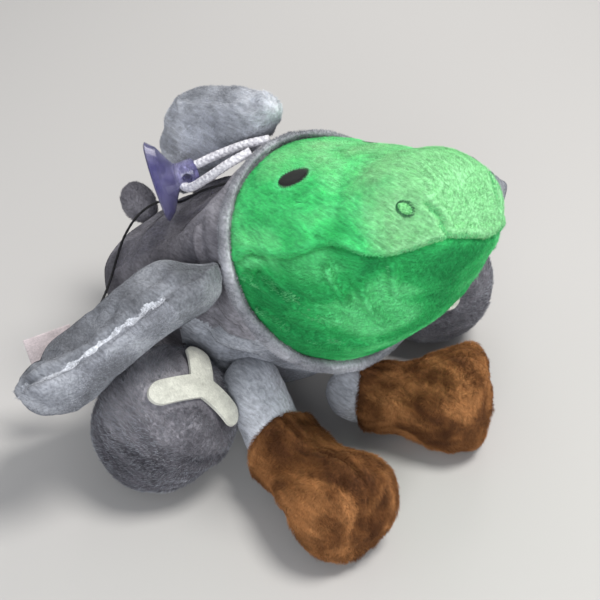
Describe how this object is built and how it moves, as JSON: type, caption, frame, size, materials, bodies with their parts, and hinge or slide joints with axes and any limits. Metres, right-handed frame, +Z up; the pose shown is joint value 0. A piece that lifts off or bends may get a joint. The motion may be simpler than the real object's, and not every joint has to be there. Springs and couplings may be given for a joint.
{
  "type": "stuffed toy reptile with aeroplane body",
  "caption": "Plush toy of a long-snouted green reptile whose grey aeroplane body has stuffed wings, engines, a fin and booted legs, with a hanging cord and suction cup.",
  "frame": {"origin": "on the resting surface, under the middle of the toy's box", "axes": "+Z up, +X towards the toy's own left wing, the head and the feet point along -Y"},
  "size_m": [0.2854, 0.2282, 0.1606],
  "materials": {
    "grey_plush": "matte",
    "light_plush": "matte",
    "green_plush": "matte",
    "green_plush_light": "matte",
    "brown_plush": "matte",
    "cream_felt": "matte",
    "black_embroidery": "satin",
    "green_embroidery": "satin",
    "filling": "matte",
    "cup_rubber": "glossy",
    "white_cord": "matte",
    "black_string": "matte",
    "label_cloth": "satin"
  },
  "bodies": {
    "body": {"body_cover": "grey_plush", "body_filling": "filling", "hood_hem": "light_plush", "head_upper": "green_plush_light", "head_lower": "green_plush", "head_filling": "filling", "eye_right": "black_embroidery", "eye_left": "black_embroidery", "nostril_right": "green_embroidery", "nostril_left": "green_embroidery", "engine_right": "grey_plush", "engine_left": "grey_plush", "engine_filling_right": "filling", "engine_filling_left": "filling", "propeller_right": "cream_felt", "propeller_left": "cream_felt", "suction_cup": "cup_rubber", "hanging_loop": "white_cord", "label_string": "black_string", "label": "label_cloth"},
    "wing_right_body": {"wing_right": "light_plush", "wing_filling_right": "filling"},
    "wing_left_body": {"wing_left": "light_plush", "wing_filling_left": "filling"},
    "leg_right_body": {"leg_right": "light_plush", "boot_right": "brown_plush", "boot_filling_right": "filling"},
    "leg_left_body": {"leg_left": "light_plush", "boot_left": "brown_plush", "boot_filling_left": "filling"},
    "fin_body": {"fin": "grey_plush", "fin_filling": "filling"},
    "tailplane_right_body": {"tailplane_right": "grey_plush"},
    "tailplane_left_body": {"tailplane_left": "grey_plush"}
  },
  "joints": [
    {"name": "wing_right_flap", "type": "hinge", "parent": "body", "child": "wing_right_body", "pos_m": [-0.0815, -0.001, 0.083], "axis": [0.3749, 0.7689, -0.5179], "range_deg": [-2, 40], "stiffness_Nm_per_rad": 0.15},
    {"name": "wing_left_flap", "type": "hinge", "parent": "body", "child": "wing_left_body", "pos_m": [0.085, 0, 0.083], "axis": [0.5739, -0.6789, 0.4579], "range_deg": [-2, 40], "stiffness_Nm_per_rad": 0.15},
    {"name": "leg_right_lift", "type": "hinge", "parent": "body", "child": "leg_right_body", "pos_m": [-0.046, -0.037, 0.038], "axis": [-1, 0, 0], "range_deg": [0, 30], "stiffness_Nm_per_rad": 0.15},
    {"name": "leg_left_lift", "type": "hinge", "parent": "body", "child": "leg_left_body", "pos_m": [-0.001, -0.039, 0.021], "axis": [-1, 0, 0], "range_deg": [0, 20], "stiffness_Nm_per_rad": 0.15},
    {"name": "fin_tilt", "type": "hinge", "parent": "body", "child": "fin_body", "pos_m": [0, 0.057, 0.097], "axis": [0, 0.7915, -0.6112], "range_deg": [-12, 12], "stiffness_Nm_per_rad": 0.15},
    {"name": "tailplane_right_flop", "type": "hinge", "parent": "body", "child": "tailplane_right_body", "pos_m": [-0.019, 0.0995, 0.0655], "axis": [1, 0, 0], "range_deg": [-15, 15], "stiffness_Nm_per_rad": 0.05},
    {"name": "tailplane_left_flop", "type": "hinge", "parent": "body", "child": "tailplane_left_body", "pos_m": [0.019, 0.0995, 0.0655], "axis": [1, 0, 0], "range_deg": [-15, 15], "stiffness_Nm_per_rad": 0.05}
  ]
}
